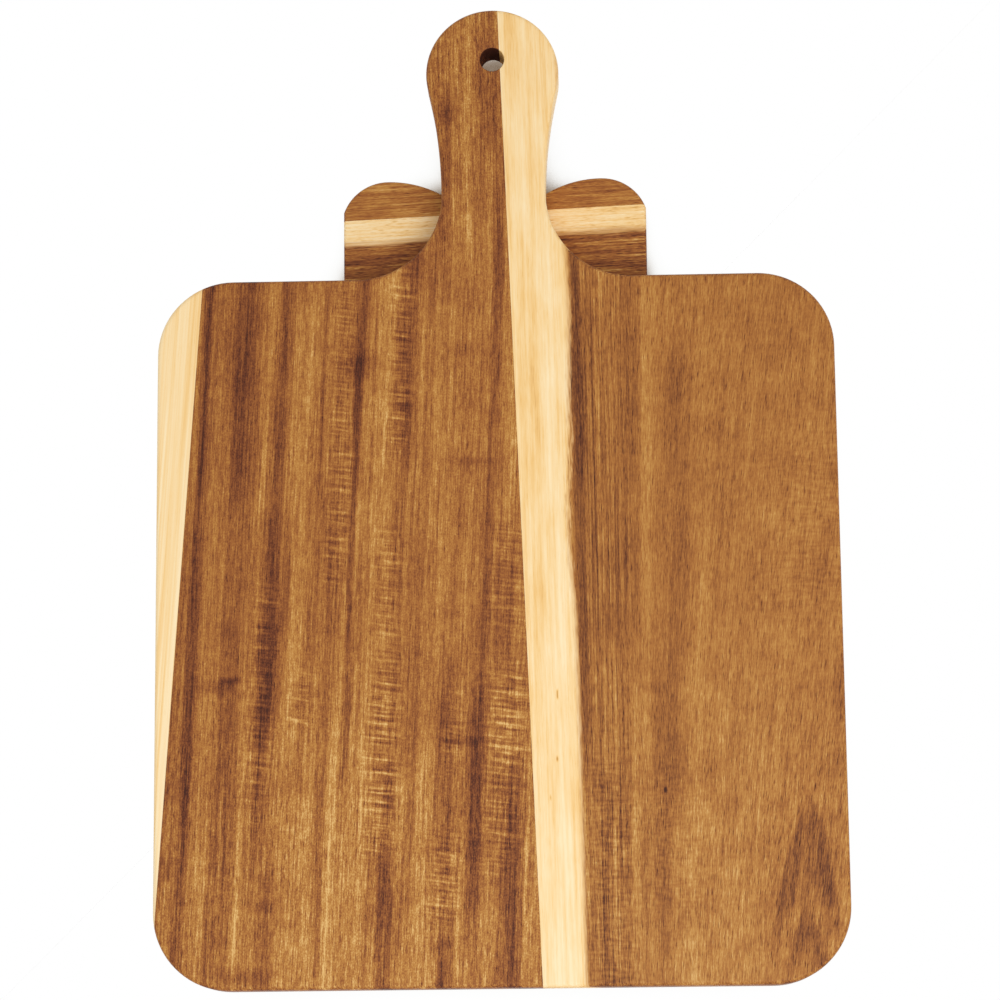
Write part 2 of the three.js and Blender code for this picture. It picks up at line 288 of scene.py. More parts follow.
def new_material(name):
    """An empty material, its node tree and its shader."""
    material = bpy.data.materials.new(name)
    material.use_nodes = True
    tree = material.node_tree
    tree.nodes.clear()
    shader = add(tree, "ShaderNodeBsdfPrincipled").node
    add(tree, "ShaderNodeOutputMaterial", {"Surface": shader.outputs[0]})
    return material, tree, shader


def millimetres(tree):
    """Object coordinates in millimetres, apart."""
    place = add(tree, "ShaderNodeTexCoord", out="Object")
    place = add(tree, "ShaderNodeVectorMath", {0: place, "Scale": 1 / mm}, operation="SCALE")
    return add(tree, "ShaderNodeSeparateXYZ", {0: place}).node.outputs


def coloured(tree, tone, stops):
    """A tone from 0 to 1 as a colour, through hex colours at their places."""
    bands = add(tree, "ShaderNodeValToRGB", {0: tone}).node
    elements = bands.color_ramp.elements
    while len(elements) < len(stops):
        elements.new(0.5)
    for element, (place, code) in zip(elements, stops):
        element.position = place
        element.color = linear(code)
    return bands.outputs[0]


def stretched(tree, grain, width, length, detail=2.0):
    """A noise about 0, with features this wide across the grain and this long along it, in millimetres."""
    scale = (1 / width, 1 / length, 1 / width)
    where = add(tree, "ShaderNodeVectorMath", {0: grain, 1: scale}, operation="MULTIPLY")
    return add(tree, "ShaderNodeTexNoise", {"Vector": where, "Scale": 1, "Detail": detail}, normalize=False)


def through_layers(tree, across, z, face):
    """Follows the tilted growth layers down from a face: the place across the grain there, and the depth."""
    depth = add(tree, "ShaderNodeMath", {0: z, 1: face / mm}, operation="SUBTRACT")
    across = add(tree, "ShaderNodeMath", {0: depth, 1: layer_tilt, 2: across}, operation="MULTIPLY_ADD")
    return across, depth


def frayed_by_fibres(tree, across, grain):
    """The place across the grain, shifted fibre by fibre so that a streak's edge is ragged."""
    shift = stretched(tree, grain, fibre_width, fibre_length)
    return add(tree, "ShaderNodeMath", {0: shift, 1: fibre_shift, 2: across}, operation="MULTIPLY_ADD")


def livelier(tree, along, most):
    """The strength of the figure: 1 in the calm middle of the board, and more towards both ends."""
    from_middle = add(tree, "ShaderNodeMath", {0: along, 1: calm_level}, operation="SUBTRACT")
    from_middle = add(tree, "ShaderNodeMath", {0: from_middle}, operation="ABSOLUTE")
    growth = {"From Min": calm_reach, "From Max": lively_reach, "To Min": 1, "To Max": most}
    return add(tree, "ShaderNodeMapRange", {"Value": from_middle, **growth})


def streaked(tree, tone, across, along, streaks, fade=14):
    """A tone with streaks along the grain, in millimetres.
    A streak is its place across, half width, change of tone, and lower and upper end."""
    for place, half, change, low, high in streaks:
        off = add(tree, "ShaderNodeMath", {0: across, 1: place}, operation="SUBTRACT")
        off = add(tree, "ShaderNodeMath", {0: off}, operation="ABSOLUTE")
        depth = {"Value": off, "From Min": 0, "From Max": 2 * half, "To Min": change, "To Max": 0}
        starts = {"Value": along, "From Min": low - fade, "From Max": low + fade}
        ends = {"Value": along, "From Min": high + fade, "From Max": high - fade}
        soft = {"interpolation_type": "SMOOTHSTEP"}
        body, start, end = [add(tree, "ShaderNodeMapRange", edge, **soft) for edge in (depth, starts, ends)]
        length = add(tree, "ShaderNodeMath", {0: start, 1: end}, operation="MULTIPLY")
        tone = add(tree, "ShaderNodeMath", {0: body, 1: length, 2: tone}, operation="MULTIPLY_ADD")
    return tone


def acacia_figure(tree, tone, grain, layers, pore_depth, end_depth=0.2, strength=1):
    """A tone with noise streaks, pores and darker end grain. layers are the streaks' width and length in
    millimetres and their change of tone. Also gives the pores, from 0 to 1."""
    figure = 0
    for width, length, change in layers:
        streak = stretched(tree, grain, width, length)
        figure = add(tree, "ShaderNodeMath", {0: streak, 1: change, 2: figure}, operation="MULTIPLY_ADD")
    # Pores are about 0.1 mm wide, too fine to show, so they are drawn twice as wide.
    pore_spacing = 0.65
    pore_length = 7
    end_sharpness = 3  # how soon the end grain gives way to the face round an edge
    scale = (1 / pore_spacing, 1 / pore_length, 1 / pore_spacing)
    where = add(tree, "ShaderNodeVectorMath", {0: grain, 1: scale}, operation="MULTIPLY")
    cells = add(tree, "ShaderNodeTexVoronoi", {"Vector": where, "Scale": 1})
    pore_shape = {"Value": cells, "From Min": 0.1, "From Max": 0.3, "To Min": 1, "To Max": 0}
    pores = add(tree, "ShaderNodeMapRange", pore_shape, interpolation_type="SMOOTHSTEP")
    figure = add(tree, "ShaderNodeMath", {0: pores, 1: -pore_depth, 2: figure}, operation="MULTIPLY_ADD")
    tone = add(tree, "ShaderNodeMath", {0: figure, 1: strength, 2: tone}, operation="MULTIPLY_ADD")
    cut_across = add(tree, "ShaderNodeAttribute", out="Fac", attribute_name="end_grain")
    cut_across = add(tree, "ShaderNodeMath", {0: cut_across, 1: end_sharpness}, operation="POWER")
    tone = add(tree, "ShaderNodeMath", {0: cut_across, 1: -end_depth, 2: tone}, operation="MULTIPLY_ADD")
    return tone, pores


def bore_shaded(tree, tone, x, y, change):
    """A tone darkened with painted shade on the wall of the hanging hole, and where, from 0 to 1."""
    here = add(tree, "ShaderNodeCombineXYZ", {0: x, 1: y})
    middle = (0, hole_centre / mm, 0)
    out = add(tree, "ShaderNodeVectorMath", {0: here, 1: middle}, out=1, operation="DISTANCE")
    wall = hole_radius / mm
    shade_full = 0.05  # from the wall to where the painted shade starts to fade
    shade_gone = 0.3
    bore_shade = {"Value": out, "From Min": wall + shade_full, "From Max": wall + shade_gone, "To Min": 1, "To Max": 0}
    bore_shade = add(tree, "ShaderNodeMapRange", bore_shade)
    return add(tree, "ShaderNodeMath", {0: bore_shade, 1: change, 2: tone}, operation="MULTIPLY_ADD"), bore_shade


def oiled(tree, shader, colour, pores, bore_shade=0.0):
    """Sanded and oiled wood: a low satin sheen that the open pores break up, and duller where the hole's
    wall has painted shade.
    """
    sanded_roughness = 0.46
    pore_roughness = 0.65
    pore_depth = 0.08 * mm
    tree.links.new(colour, shader.inputs["Base Color"])
    dull = {"Value": pores, "To Min": sanded_roughness, "To Max": pore_roughness}
    dull = add(tree, "ShaderNodeMapRange", dull)
    dull = add(tree, "ShaderNodeMath", {0: dull, 1: bore_shade}, operation="MAXIMUM")
    tree.links.new(dull, shader.inputs["Roughness"])
    sunk = {"Height": pores, "Strength": 0.25, "Distance": -pore_depth}
    tree.links.new(add(tree, "ShaderNodeBump", sunk), shader.inputs["Normal"])
    shader.inputs["IOR"].default_value = 1.47  # oil
    shader.inputs["Specular IOR Level"].default_value = 0.2  # most of the oil has soaked in


# Heartwood: reddish and golden brown, darker in the streaks and alive with fine bars of light in the ripple.
# All its places are in millimetres: across from near the board's left side, along from the middle.
heart_base = 0.56
heart_lean = 0.045  # the grain's slope against the board's length
heart_bend = 110  # above this it runs straight up the handle
heart_start = 150  # from the middle line to where the places across are counted from
heart_wander = 1.4  # how far the streaks wander to each side
layer_tilt = 0.55  # the growth layers' slope through the thickness
calm_level = 20  # the figure is calmest at this level
calm_reach = 80  # to each side of it
lively_reach = 180  # from here on it is at its liveliest
fibre_width = 0.6
fibre_length = 18
fibre_shift = 1.1
heart_tones = [
    (0, "#3f1a0c"), (0.2, "#68341a"), (0.4, "#8d5126"), (0.55, "#a5672f"), (0.75, "#c08741"),
    (1, "#e5b974"),
]
# Dark and pale streaks along the grain.
heart_streaks = [
    (10, 5, -0.14, -185, -15), (18, 3, -0.1, -170, -90), (17, 1.5, -0.28, -240, 110),
    (20, 4, -0.1, -60, 110), (24, 2.5, 0.06, -110, 60), (34, 4.8, -0.31, 5, 110),
    (35, 3, -0.2, -120, 10), (34, 4, -0.12, -240, -120), (42, 1, 0.14, -205, -140),
    (46, 3, 0.06, -70, 95), (51, 2.8, -0.26, -115, 70), (50, 5, -0.12, -110, -20),
    (41, 3, -0.09, -50, 20), (58, 2.2, -0.16, -72, -32), (54, 3, -0.11, -100, -60),
    (51, 2.4, -0.17, -165, -105), (53, 2.6, -0.2, 60, 110), (55, 2.4, -0.2, -240, -175),
    (62, 5, 0.12, -110, 90), (70, 0.7, -0.14, -70, 95), (68, 6, 0.1, -240, -115),
    (74, 4, -0.05, -60, 95), (78, 1.1, -0.16, -240, -90), (83, 4.5, 0.14, -240, -105),
    (80, 3, -0.13, -75, -5), (86.5, 1.3, -0.26, -130, 60), (87.5, 3, -0.13, 35, 110),
    (86.5, 0.9, -0.16, -215, -110), (98, 4.5, 0.12, -90, 110), (95, 3.5, 0.14, -240, -90),
    (107, 2.6, -0.26, -240, -165), (108, 3.2, -0.23, 15, 125), (106, 1.4, -0.08, -160, 15),
    (128, 9, 0.04, -60, 60), (121, 2.4, 0.1, -240, -120), (132, 2.8, -0.2, -160, -95),
    (134, 3.5, -0.24, -240, -200), (140, 2, 0.1, -240, -150), (146, 2.6, -0.3, -192, -88),
    (147.5, 1.5, -0.25, 15, 125), (147.5, 1.5, -0.12, -80, 15), (158, 3, -0.13, -110, -30),
    (156, 2.5, 0.12, -28, 90), (156, 5, 0.08, -120, -75), (155, 4, -0.13, -185, -130),
    (163.5, 4, -0.36, -240, -132), (169, 1, 0.14, -235, -160), (125, 3.5, -0.16, 155, 185),
    (122, 3, -0.12, 115, 145), (143, 3.5, -0.15, 160, 240), (147, 3, -0.12, 90, 175),
    (134, 1.6, 0.14, 100, 200), (128, 2, 0.06, 180, 225),
]
# The paler lower end and short dark smudges, streaks that lie across the grain.
heart_smudges = [
    (-230, 75, 0.07, -40, 220), (-86.5, 1.2, -0.4, 31, 38), (-89.5, 2, -0.2, 24, 36),
    (57, 5, -0.1, 78, 98), (37, 2.5, -0.13, 103, 110), (11, 1.6, -0.11, 130, 150),
    (62, 3, -0.13, 131, 138), (-36, 5, -0.1, 152, 166), (-186, 2, -0.17, 50, 58),
    (-216, 2.5, -0.15, 36, 58), (-204, 2, -0.13, 130, 139), (-115, 2, -0.15, 132, 150),
    (-100, 3, -0.1, 46, 56), (173, 4, -0.12, 120, 128), (140, 3, -0.1, 120, 130),
]
# Patches of ripple, with their strength for the change of tone.
heart_ripples = [
    (80, 4.5, 0.65, -45, 30), (79, 4, 0.5, 30, 95), (49, 5, 0.5, -150, -45),
    (104, 5.5, 1, -165, -85), (104, 5, 0.5, -85, -20), (67, 4.5, 0.6, -108, -82),
    (105, 4, 0.65, 15, 100), (133, 6, 0.75, -195, -155), (159, 8, 0.9, -124, -82),
    (157, 7, 0.6, -170, -120), (157, 8, 0.45, -70, -15), (135, 4, 0.55, -125, -90),
]
heart_layers = [
    (0.45, 0.9, 0.16), (0.5, 6, 0.14), (1.4, 3.5, 0.1), (0.8, 26, 0.14), (1.6, 90, 0.12),
    (4, 240, 0.11), (14, 14, 0.06), (30, 40, 0.06),
]
heartwood, tree, shader = new_material("oiled_acacia_heartwood")
x, y, z = millimetres(tree)
bent = add(tree, "ShaderNodeMath", {0: y, 1: heart_bend}, operation="MINIMUM")
across = add(tree, "ShaderNodeMath", {0: bent, 1: -heart_lean, 2: x}, operation="MULTIPLY_ADD")
across = add(tree, "ShaderNodeMath", {0: across, 1: heart_start}, operation="ADD")
across, depth = through_layers(tree, across, z, board_top)
grain = add(tree, "ShaderNodeCombineXYZ", {0: across, 1: y, 2: depth})
wander = stretched(tree, grain, width=25, length=90)
across = add(tree, "ShaderNodeMath", {0: wander, 1: heart_wander, 2: across}, operation="MULTIPLY_ADD")
frayed = frayed_by_fibres(tree, across, grain)
tone = streaked(tree, heart_base, frayed, y, heart_streaks, fade=20)
tone = streaked(tree, tone, y, across, heart_smudges, fade=6)
# The ripple is bars across the grain, brighter than they are dark, with fine flecks between them.
bar_slant = 0.13
bar_length = 26
bar_spacing = 2
bar_change = 0.62
dark_bar_share = 0.6  # of a bright bar's change
fleck_length = 4.5
fleck_spacing = 0.85
fleck_change = 0.14
fleck_change_outside = 0.03
patches = streaked(tree, 0, frayed, y, heart_ripples, fade=10)
slanting = add(tree, "ShaderNodeMath", {0: across, 1: bar_slant, 2: y}, operation="MULTIPLY_ADD")
slanting = add(tree, "ShaderNodeCombineXYZ", {0: across, 1: slanting, 2: depth})
bars = stretched(tree, slanting, bar_length, bar_spacing, detail=1)
shaded = add(tree, "ShaderNodeMath", {0: bars, 1: dark_bar_share}, operation="MULTIPLY")
bars = add(tree, "ShaderNodeMath", {0: bars, 1: shaded}, operation="MAXIMUM")
bars = add(tree, "ShaderNodeMath", {0: bars, 1: patches}, operation="MULTIPLY")
tone = add(tree, "ShaderNodeMath", {0: bars, 1: bar_change, 2: tone}, operation="MULTIPLY_ADD")
flecks = stretched(tree, slanting, fleck_length, fleck_spacing, detail=1)
fleck_depth = {0: patches, 1: fleck_change, 2: fleck_change_outside}
fleck_depth = add(tree, "ShaderNodeMath", fleck_depth, operation="MULTIPLY_ADD")
tone = add(tree, "ShaderNodeMath", {0: flecks, 1: fleck_depth, 2: tone}, operation="MULTIPLY_ADD")
lively = livelier(tree, y, most=1.3)
tone, pores = acacia_figure(tree, tone, grain, heart_layers, pore_depth=0.22, strength=lively)
# Painted shade darkens the wall of the hanging hole.
tone, bore_shade = bore_shaded(tree, tone, x, y, change=-0.45)
oiled(tree, shader, coloured(tree, tone, heart_tones), pores, bore_shade)

grain_of_board = Vector((0, 1, 0))
left_stave = stave(board, "left_stave", [(wedge_joint, -1), (middle_joint, 1)], grain_of_board)
left_stave.data.materials.append(heartwood)
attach(left_stave, "board")
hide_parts("board_left_stave")

# The right stave
# A slab-sawn stave that still has a band of cream sapwood along the middle joint. The heartwood starts at a
# feathered line, olive brown at first and then an even golden brown, with a flame in the lower corner.
sap_tones = [(0, "#d09a52"), (0.35, "#f2c57e"), (0.6, "#f9d599"), (1, "#fee7bb")]


def ripened(tree, side, edge, softness, sap, heart):
    """Sapwood that turns to heartwood past an edge, over a soft golden stain. Sizes in millimetres."""
    stain = {"Value": side, "From Min": edge - 2 * softness, "From Max": edge + softness / 3, "To Max": 0.75}
    stain = add(tree, "ShaderNodeMapRange", stain, interpolation_type="SMOOTHERSTEP")
    golden = linear("#c48a48")
    sap = add(tree, "ShaderNodeMix", {0: stain, 6: sap, 7: golden}, out=2, data_type="RGBA")
    turn = {"Value": side, "From Min": edge - 0.4 * softness, "From Max": edge + 0.6 * softness}
    turn = add(tree, "ShaderNodeMapRange", turn, interpolation_type="SMOOTHSTEP")
    return add(tree, "ShaderNodeMix", {0: turn, 6: sap, 7: heart}, out=2, data_type="RGBA")


# Its heartwood is plainer and more golden than the left stave's, and the sapwood is a warm cream.
right_base = 0.54
right_tones = [
    (0, "#401c0d"), (0.2, "#69381b"), (0.4, "#925828"), (0.55, "#aa6d32"), (0.75, "#c18a45"),
    (1, "#e2b774"),
]
right_streaks = [
    (37, 2, -0.24, -115, 110), (39, 4, -0.07, -240, -110), (141, 7, -0.08, -260, -195),
    (41, 3, -0.1, -60, 110), (44, 0.7, -0.14, -240, 90), (48.5, 0.8, -0.13, -240, 30),
    (53.5, 1, -0.13, -240, 0), (57, 0.8, -0.12, -240, 60), (60, 2, -0.06, -60, 100),
    (48, 8, -0.1, -240, -180), (56, 6, -0.06, -60, 80), (65.5, 0.9, 0.12, -60, 110),
    (61, 1.6, 0.12, -190, -90), (68, 2, 0.08, -140, 100), (80, 5, -0.1, -140, 70),
    (76, 3.5, -0.13, -240, -100), (92, 4, 0.05, -240, 110), (100, 12, 0.05, -240, -60),
    (135, 12, 0.04, -120, 0),
]
right_pale_end = [(-230, 70, 0.085, -40, 220)]
right_ripple_elsewhere = 0.05
right_bar_change = 0.6
right_ripples = [(47, 11, 0.26, -240, -120), (80, 14, 0.14, -200, -130), (140, 16, 0.12, -60, 20)]
right_layers = [
    (0.36, 4.5, 0.17), (0.45, 1.3, 0.08), (0.7, 10, 0.14), (1.8, 70, 0.09), (6, 200, 0.05),
    (14, 14, 0.06), (40, 40, 0.06),
]
rightwood, tree, shader = new_material("oiled_acacia_with_sapwood")
x, y, z = millimetres(tree)
# The grain fans out: it leans left beside the sapwood and right towards the edge, its fibres most of all.
fan = {"Value": x, "From Min": 33, "From Max": 83, "To Min": 0.02, "To Max": -0.04}
lean = add(tree, "ShaderNodeMapRange", fan)
across = add(tree, "ShaderNodeMath", {0: y, 1: lean, 2: x}, operation="MULTIPLY_ADD")
across, depth = through_layers(tree, across, z, board_top)
fan = {"Value": x, "From Min": 60, "From Max": 115, "To Min": 0, "To Max": -0.08}
fibre_lean = add(tree, "ShaderNodeMapRange", fan)
leaning = add(tree, "ShaderNodeMath", {0: y, 1: fibre_lean, 2: across}, operation="MULTIPLY_ADD")
grain = add(tree, "ShaderNodeCombineXYZ", {0: leaning, 1: y, 2: depth})
frayed = frayed_by_fibres(tree, across, grain)
tone = streaked(tree, right_base, frayed, y, right_streaks, fade=20)
tone = streaked(tree, tone, y, across, right_pale_end)
patches = streaked(tree, right_ripple_elsewhere, frayed, y, right_ripples, fade=20)
bars = stretched(tree, grain, width=7, length=1.6)
bars = add(tree, "ShaderNodeMath", {0: bars, 1: patches}, operation="MULTIPLY")
tone = add(tree, "ShaderNodeMath", {0: bars, 1: right_bar_change, 2: tone}, operation="MULTIPLY_ADD")
# Close dark lines beside the sapwood.
lined_band = [(48, 11, 1, -260, 160)]
line_width = 0.75
line_length = 70
line_change = 0.3
lined = streaked(tree, 0, across, y, lined_band)
lines = stretched(tree, grain, line_width, line_length, detail=1)
lines = add(tree, "ShaderNodeMath", {0: lines, 1: lined}, operation="MULTIPLY")
tone = add(tree, "ShaderNodeMath", {0: lines, 1: line_change, 2: tone}, operation="MULTIPLY_ADD")
# The flame: a growth layer cut at a slant, dark in a point and down the two arms below it.
flame_across = 141
flame_tip = -134
flame_bend = 1.6  # 1 gives straight arms, 2 a parabola
flame_spread = 1.27
flame = [
    (12, 7, -0.13, -200, -110), (25, 14, -0.2, -195, -110), (20, 14, -0.12, -260, -200),
    (63, 8, -0.2, -260, -185),
]
off = add(tree, "ShaderNodeMath", {0: frayed, 1: flame_across}, operation="SUBTRACT")
off = add(tree, "ShaderNodeMath", {0: off}, operation="ABSOLUTE")
off = add(tree, "ShaderNodeMath", {0: off, 1: flame_bend}, operation="POWER")
below = add(tree, "ShaderNodeMath", {0: flame_tip, 1: y}, operation="SUBTRACT")
layer = add(tree, "ShaderNodeMath", {0: off, 1: -1 / flame_spread, 2: below}, operation="MULTIPLY_ADD")
tone = streaked(tree, tone, layer, y, flame)
pin_knot = [(76.5, 0.7, -0.6, -138.2, -136.2)]
tone = streaked(tree, tone, across, y, pin_knot, fade=0.8)
lively = livelier(tree, y, most=1.4)
tone, pores = acacia_figure(tree, tone, grain, right_layers, pore_depth=0.26, strength=lively)
# Painted shade darkens the wall of the hanging hole.
tone, bore_shade = bore_shaded(tree, tone, x, y, change=-0.45)
heart_colour = coloured(tree, tone, right_tones)
# The band of sapwood, with golden streaks, a few dark flecks and a ragged edge.
sap_base = 0.64
sap_edge = 34.2
sap_streaks = [
    (14, 2.5, -0.08, -120, 110), (18.5, 2.4, -0.2, -60, 110), (10, 2, -0.06, 110, 240),
    (25, 4, 0.12, -240, 110), (29, 1, -0.08, -240, 60), (21, 9, 0.12, -260, -150),
]
sap_flecks = [(24, 0.35, -0.8, -96.5, -92.5), (23, 0.4, -0.7, -124, -122), (19.5, 0.3, -0.5, -141, -139)]
sap_layers = [(1.3, 90, 0.24), (0.5, 9, 0.16), (5, 60, 0.22), (14, 30, 0.14)]
sap_tone = streaked(tree, sap_base, across, y, sap_streaks)
sap_tone = streaked(tree, sap_tone, across, y, sap_flecks, fade=1)
sap_tone = acacia_figure(tree, sap_tone, grain, sap_layers, pore_depth=0.1, end_depth=0.4)[0]
# Painted shade darkens the sapwood's part of the hole's wall.
sap_tone = bore_shaded(tree, sap_tone, x, y, change=-0.4)[0]
sap_colour = coloured(tree, sap_tone, sap_tones)
sap_raggedness = 0.8
sap_more_ragged = [(-5, 30, 1.3, -20, 60)]
sap_edge_bends = [(-20, 25, 2, -20, 60), (85, 28, -1.4, -20, 60)]
sap_softness = 1.5
feather = stretched(tree, grain, width=0.8, length=8, detail=3)
ragged = streaked(tree, sap_raggedness, y, across, sap_more_ragged)
sap_side = add(tree, "ShaderNodeMath", {0: feather, 1: ragged, 2: across}, operation="MULTIPLY_ADD")
sap_side = streaked(tree, sap_side, y, across, sap_edge_bends)
colour = ripened(tree, sap_side, sap_edge, sap_softness, sap_colour, heart_colour)
oiled(tree, shader, colour, pores, bore_shade)

right_stave = stave(board, "right_stave", [(middle_joint, -1)], grain_of_board)
right_stave.data.materials.append(rightwood)
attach(right_stave, "board")
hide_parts("board_right_stave")

# The left edge stave
# A thin wedge of cream sapwood that makes up the board's width, sanded and oiled with the rest. Its joint
# runs out at the lower left corner.
wedge_base = 0.74
wedge_lean = 0.0675  # its grain runs along the joint
wedge_layers = [(3, 260, 0.3), (1.1, 120, 0.3), (0.6, 20, 0.08)]
sapwood, tree, shader = new_material("oiled_acacia_sapwood")  # pale cream with faint golden lines
x, y, z = millimetres(tree)
across = add(tree, "ShaderNodeMath", {0: y, 1: -wedge_lean, 2: x}, operation="MULTIPLY_ADD")
across, depth = through_layers(tree, across, z, board_top)
grain = add(tree, "ShaderNodeCombineXYZ", {0: across, 1: y, 2: depth})
tone, pores = acacia_figure(tree, wedge_base, grain, wedge_layers, pore_depth=0.1, end_depth=0.4)
oiled(tree, shader, coloured(tree, tone, sap_tones), pores)

left_edge_stave = stave(board, "left_edge_stave", [(wedge_joint, 1)], grain_of_board)
left_edge_stave.data.materials.append(sapwood)
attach(left_edge_stave, "board")
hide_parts("board_left_edge_stave")
bpy.data.objects.remove(board)

# The legs
# Each leg is a panel of two staves glued edge to edge with the grain across the tray, sawn with two round
# feet and an arch between them, and rounded over. It is hinged to the underside and folds flat towards the
# handle.
leg_edge_round = 1.5 * mm
leg_half_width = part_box("rear_leg_hinge_stave")[1].x
foot_inset = 20.4 * mm
foot_drop = 14.5 * mm
foot_inner_radius = 49.8 * mm
arch_depth = 13 * mm
leg_joint_height = {"rear": 92.1 * mm, "front": 56.25 * mm}  # above the hinge line
leg_joint_rise = {"rear": 5.6 * mm, "front": -4.5 * mm}  # from the leg's left side to its right side
sap_stripe = 12.2 * mm  # width of the sapwood left on the rear leg, below its glue joint
stripe_brightness = 1.2  # against the tone of the heartwood beside it
stripe_painted_lift = 0.2  # painted light at its left end, against the handle's shade there
stripe_raggedness = 1.3
stripe_softness = 2
hinge_line = {joint["child"].split("_")[0]: Vector(joint["pos_m"]) for joint in frame["joints"]}


def leg_outline(inset, end, tip_level):
    """A leg's outline, moved in by the inset, from the right corner of its hinge end round."""
    side = leg_half_width - inset
    tip = leg_half_width - foot_inset
    outer_radius = (foot_inset**2 + foot_drop**2) / (2 * foot_drop)
    inner_centre = tip_level - foot_inner_radius
    arch_radius = (tip**2 + arch_depth**2) / (2 * arch_depth) - foot_inner_radius
    arch_centre = tip_level - arch_depth + arch_radius
    turn = math.atan2(arch_centre - inner_centre, tip)
    corner = math.acos((side - tip) / (outer_radius - inset))
    return with_mirror([
        Vector((side, end + inset)),
        *arc(tip, tip_level - outer_radius, outer_radius - inset, corner, quarter, 14),
        *arc(tip, inner_centre, foot_inner_radius - inset, quarter, 2 * quarter - turn, 20)[1:],
        *arc(0, arch_centre, arch_radius + inset, -turn, -quarter, 14)[1:],
    ])


# Plainer heartwood than the board's, in four shades, livelier in the hinge staves.
leg_tones = {"rear_hinge": 0.45, "rear_foot": 0.57, "front_hinge": 0.53, "front_foot": 0.45}
leg_strength = {"hinge": 1.4, "foot": 1}
leg_layers = [
    (0.34, 3, 0.16), (0.7, 12, 0.14), (0.5, 60, 0.16), (1.6, 40, 0.16), (5, 70, 0.14),
    (12, 20, 0.08),
]
grain_of_leg = Vector((1, 0, 0))
for leg in leg_names:
    hinge_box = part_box(f"{leg}_leg_hinge_stave")
    foot_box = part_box(f"{leg}_leg_foot_stave")
    inner_face = hinge_box[1].z
    blank = plank(f"{leg}_leg", lambda inset: leg_outline(inset, hinge_box[0].y, foot_box[1].y),
                  hinge_box[0].z, inner_face, leg_edge_round)
    leg_hinges = [name for name in hinge_names if name.startswith(leg)]
    cut_seats(blank, "leg", leg_hinges, [f"{leg}_leg_magnet"], inner_face, -1)
    middle = hinge_line[leg].y + leg_joint_height[leg]
    rise = leg_joint_rise[leg]
    joint = [Vector((side * leg_half_width, middle + side * rise / 2, 0)) for side in (-1, 1)]
    slope = rise / (2 * leg_half_width)
    for part, cut_side in (("hinge", -1), ("foot", 1)):
        piece = stave(blank, f"{leg}_leg_{part}", [(joint, cut_side)], grain_of_leg)
        wood, tree, shader = new_material(f"oiled_acacia_{leg}_leg_{part}")
        x, y, z = millimetres(tree)
        across = add(tree, "ShaderNodeMath", {0: x, 1: -slope, 2: y}, operation="MULTIPLY_ADD")
        across = add(tree, "ShaderNodeMath", {0: across, 1: middle / mm}, operation="SUBTRACT")
        across, depth = through_layers(tree, across, z, inner_face)
        grain = add(tree, "ShaderNodeCombineXYZ", {0: across, 1: x, 2: depth})
        base = leg_tones[f"{leg}_{part}"]
        lively = leg_strength[part]
        tone, pores = acacia_figure(tree, base, grain, leg_layers, pore_depth=0.26, strength=lively)
        colour = coloured(tree, tone, heart_tones)
        if f"{leg}_{part}" == "rear_hinge":
            # The stripe of sapwood is made paler towards the left with painted light that evens out the
            # handle's shade there, and its far edge is ragged.
            painted_lift = {"Value": x, "From Min": -70, "From Max": 70, "To Min": stripe_painted_lift, "To Max": 0}
            painted_lift = add(tree, "ShaderNodeMapRange", painted_lift)
            cream = {0: tone, 1: stripe_brightness, 2: painted_lift}
            cream = add(tree, "ShaderNodeMath", cream, operation="MULTIPLY_ADD")
            cream = coloured(tree, cream, sap_tones)
            fray = stretched(tree, grain, width=1, length=22, detail=3)
            below = {0: fray, 1: stripe_raggedness, 2: across}
            below = add(tree, "ShaderNodeMath", below, operation="MULTIPLY_ADD")
            below = add(tree, "ShaderNodeMath", {0: below, 1: -1}, operation="MULTIPLY")
            colour = ripened(tree, below, sap_stripe / mm, stripe_softness, cream, colour)
        oiled(tree, shader, colour, pores)
        piece.data.materials.append(wood)
        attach(piece, f"{leg}_leg")
        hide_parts(f"{leg}_leg_{part}_stave")
    bpy.data.objects.remove(blank)

# The hinge leaves
# Four brass butt hinges, two to a leg. Each leaf is stamped from sheet with its knuckles rolled round the
# pin, let into the wood just below the face and held by two countersunk screws.
half_hinge = 19 * mm
leaf_reach = 12.5 * mm
leaf_thickness = 1.2 * mm
bore_radius = 1.3 * mm
barrel_radius = bore_radius + leaf_thickness
knuckle_gap = 0.3 * mm
knuckle_count = 5
screw_across = 11 * mm
screw_out = 7.65 * mm
screw_head_radius = 2.4 * mm
screw_head_rim = 0.15 * mm
roll_end = math.radians(385)  # where the rolled edge stops, just short of the plate


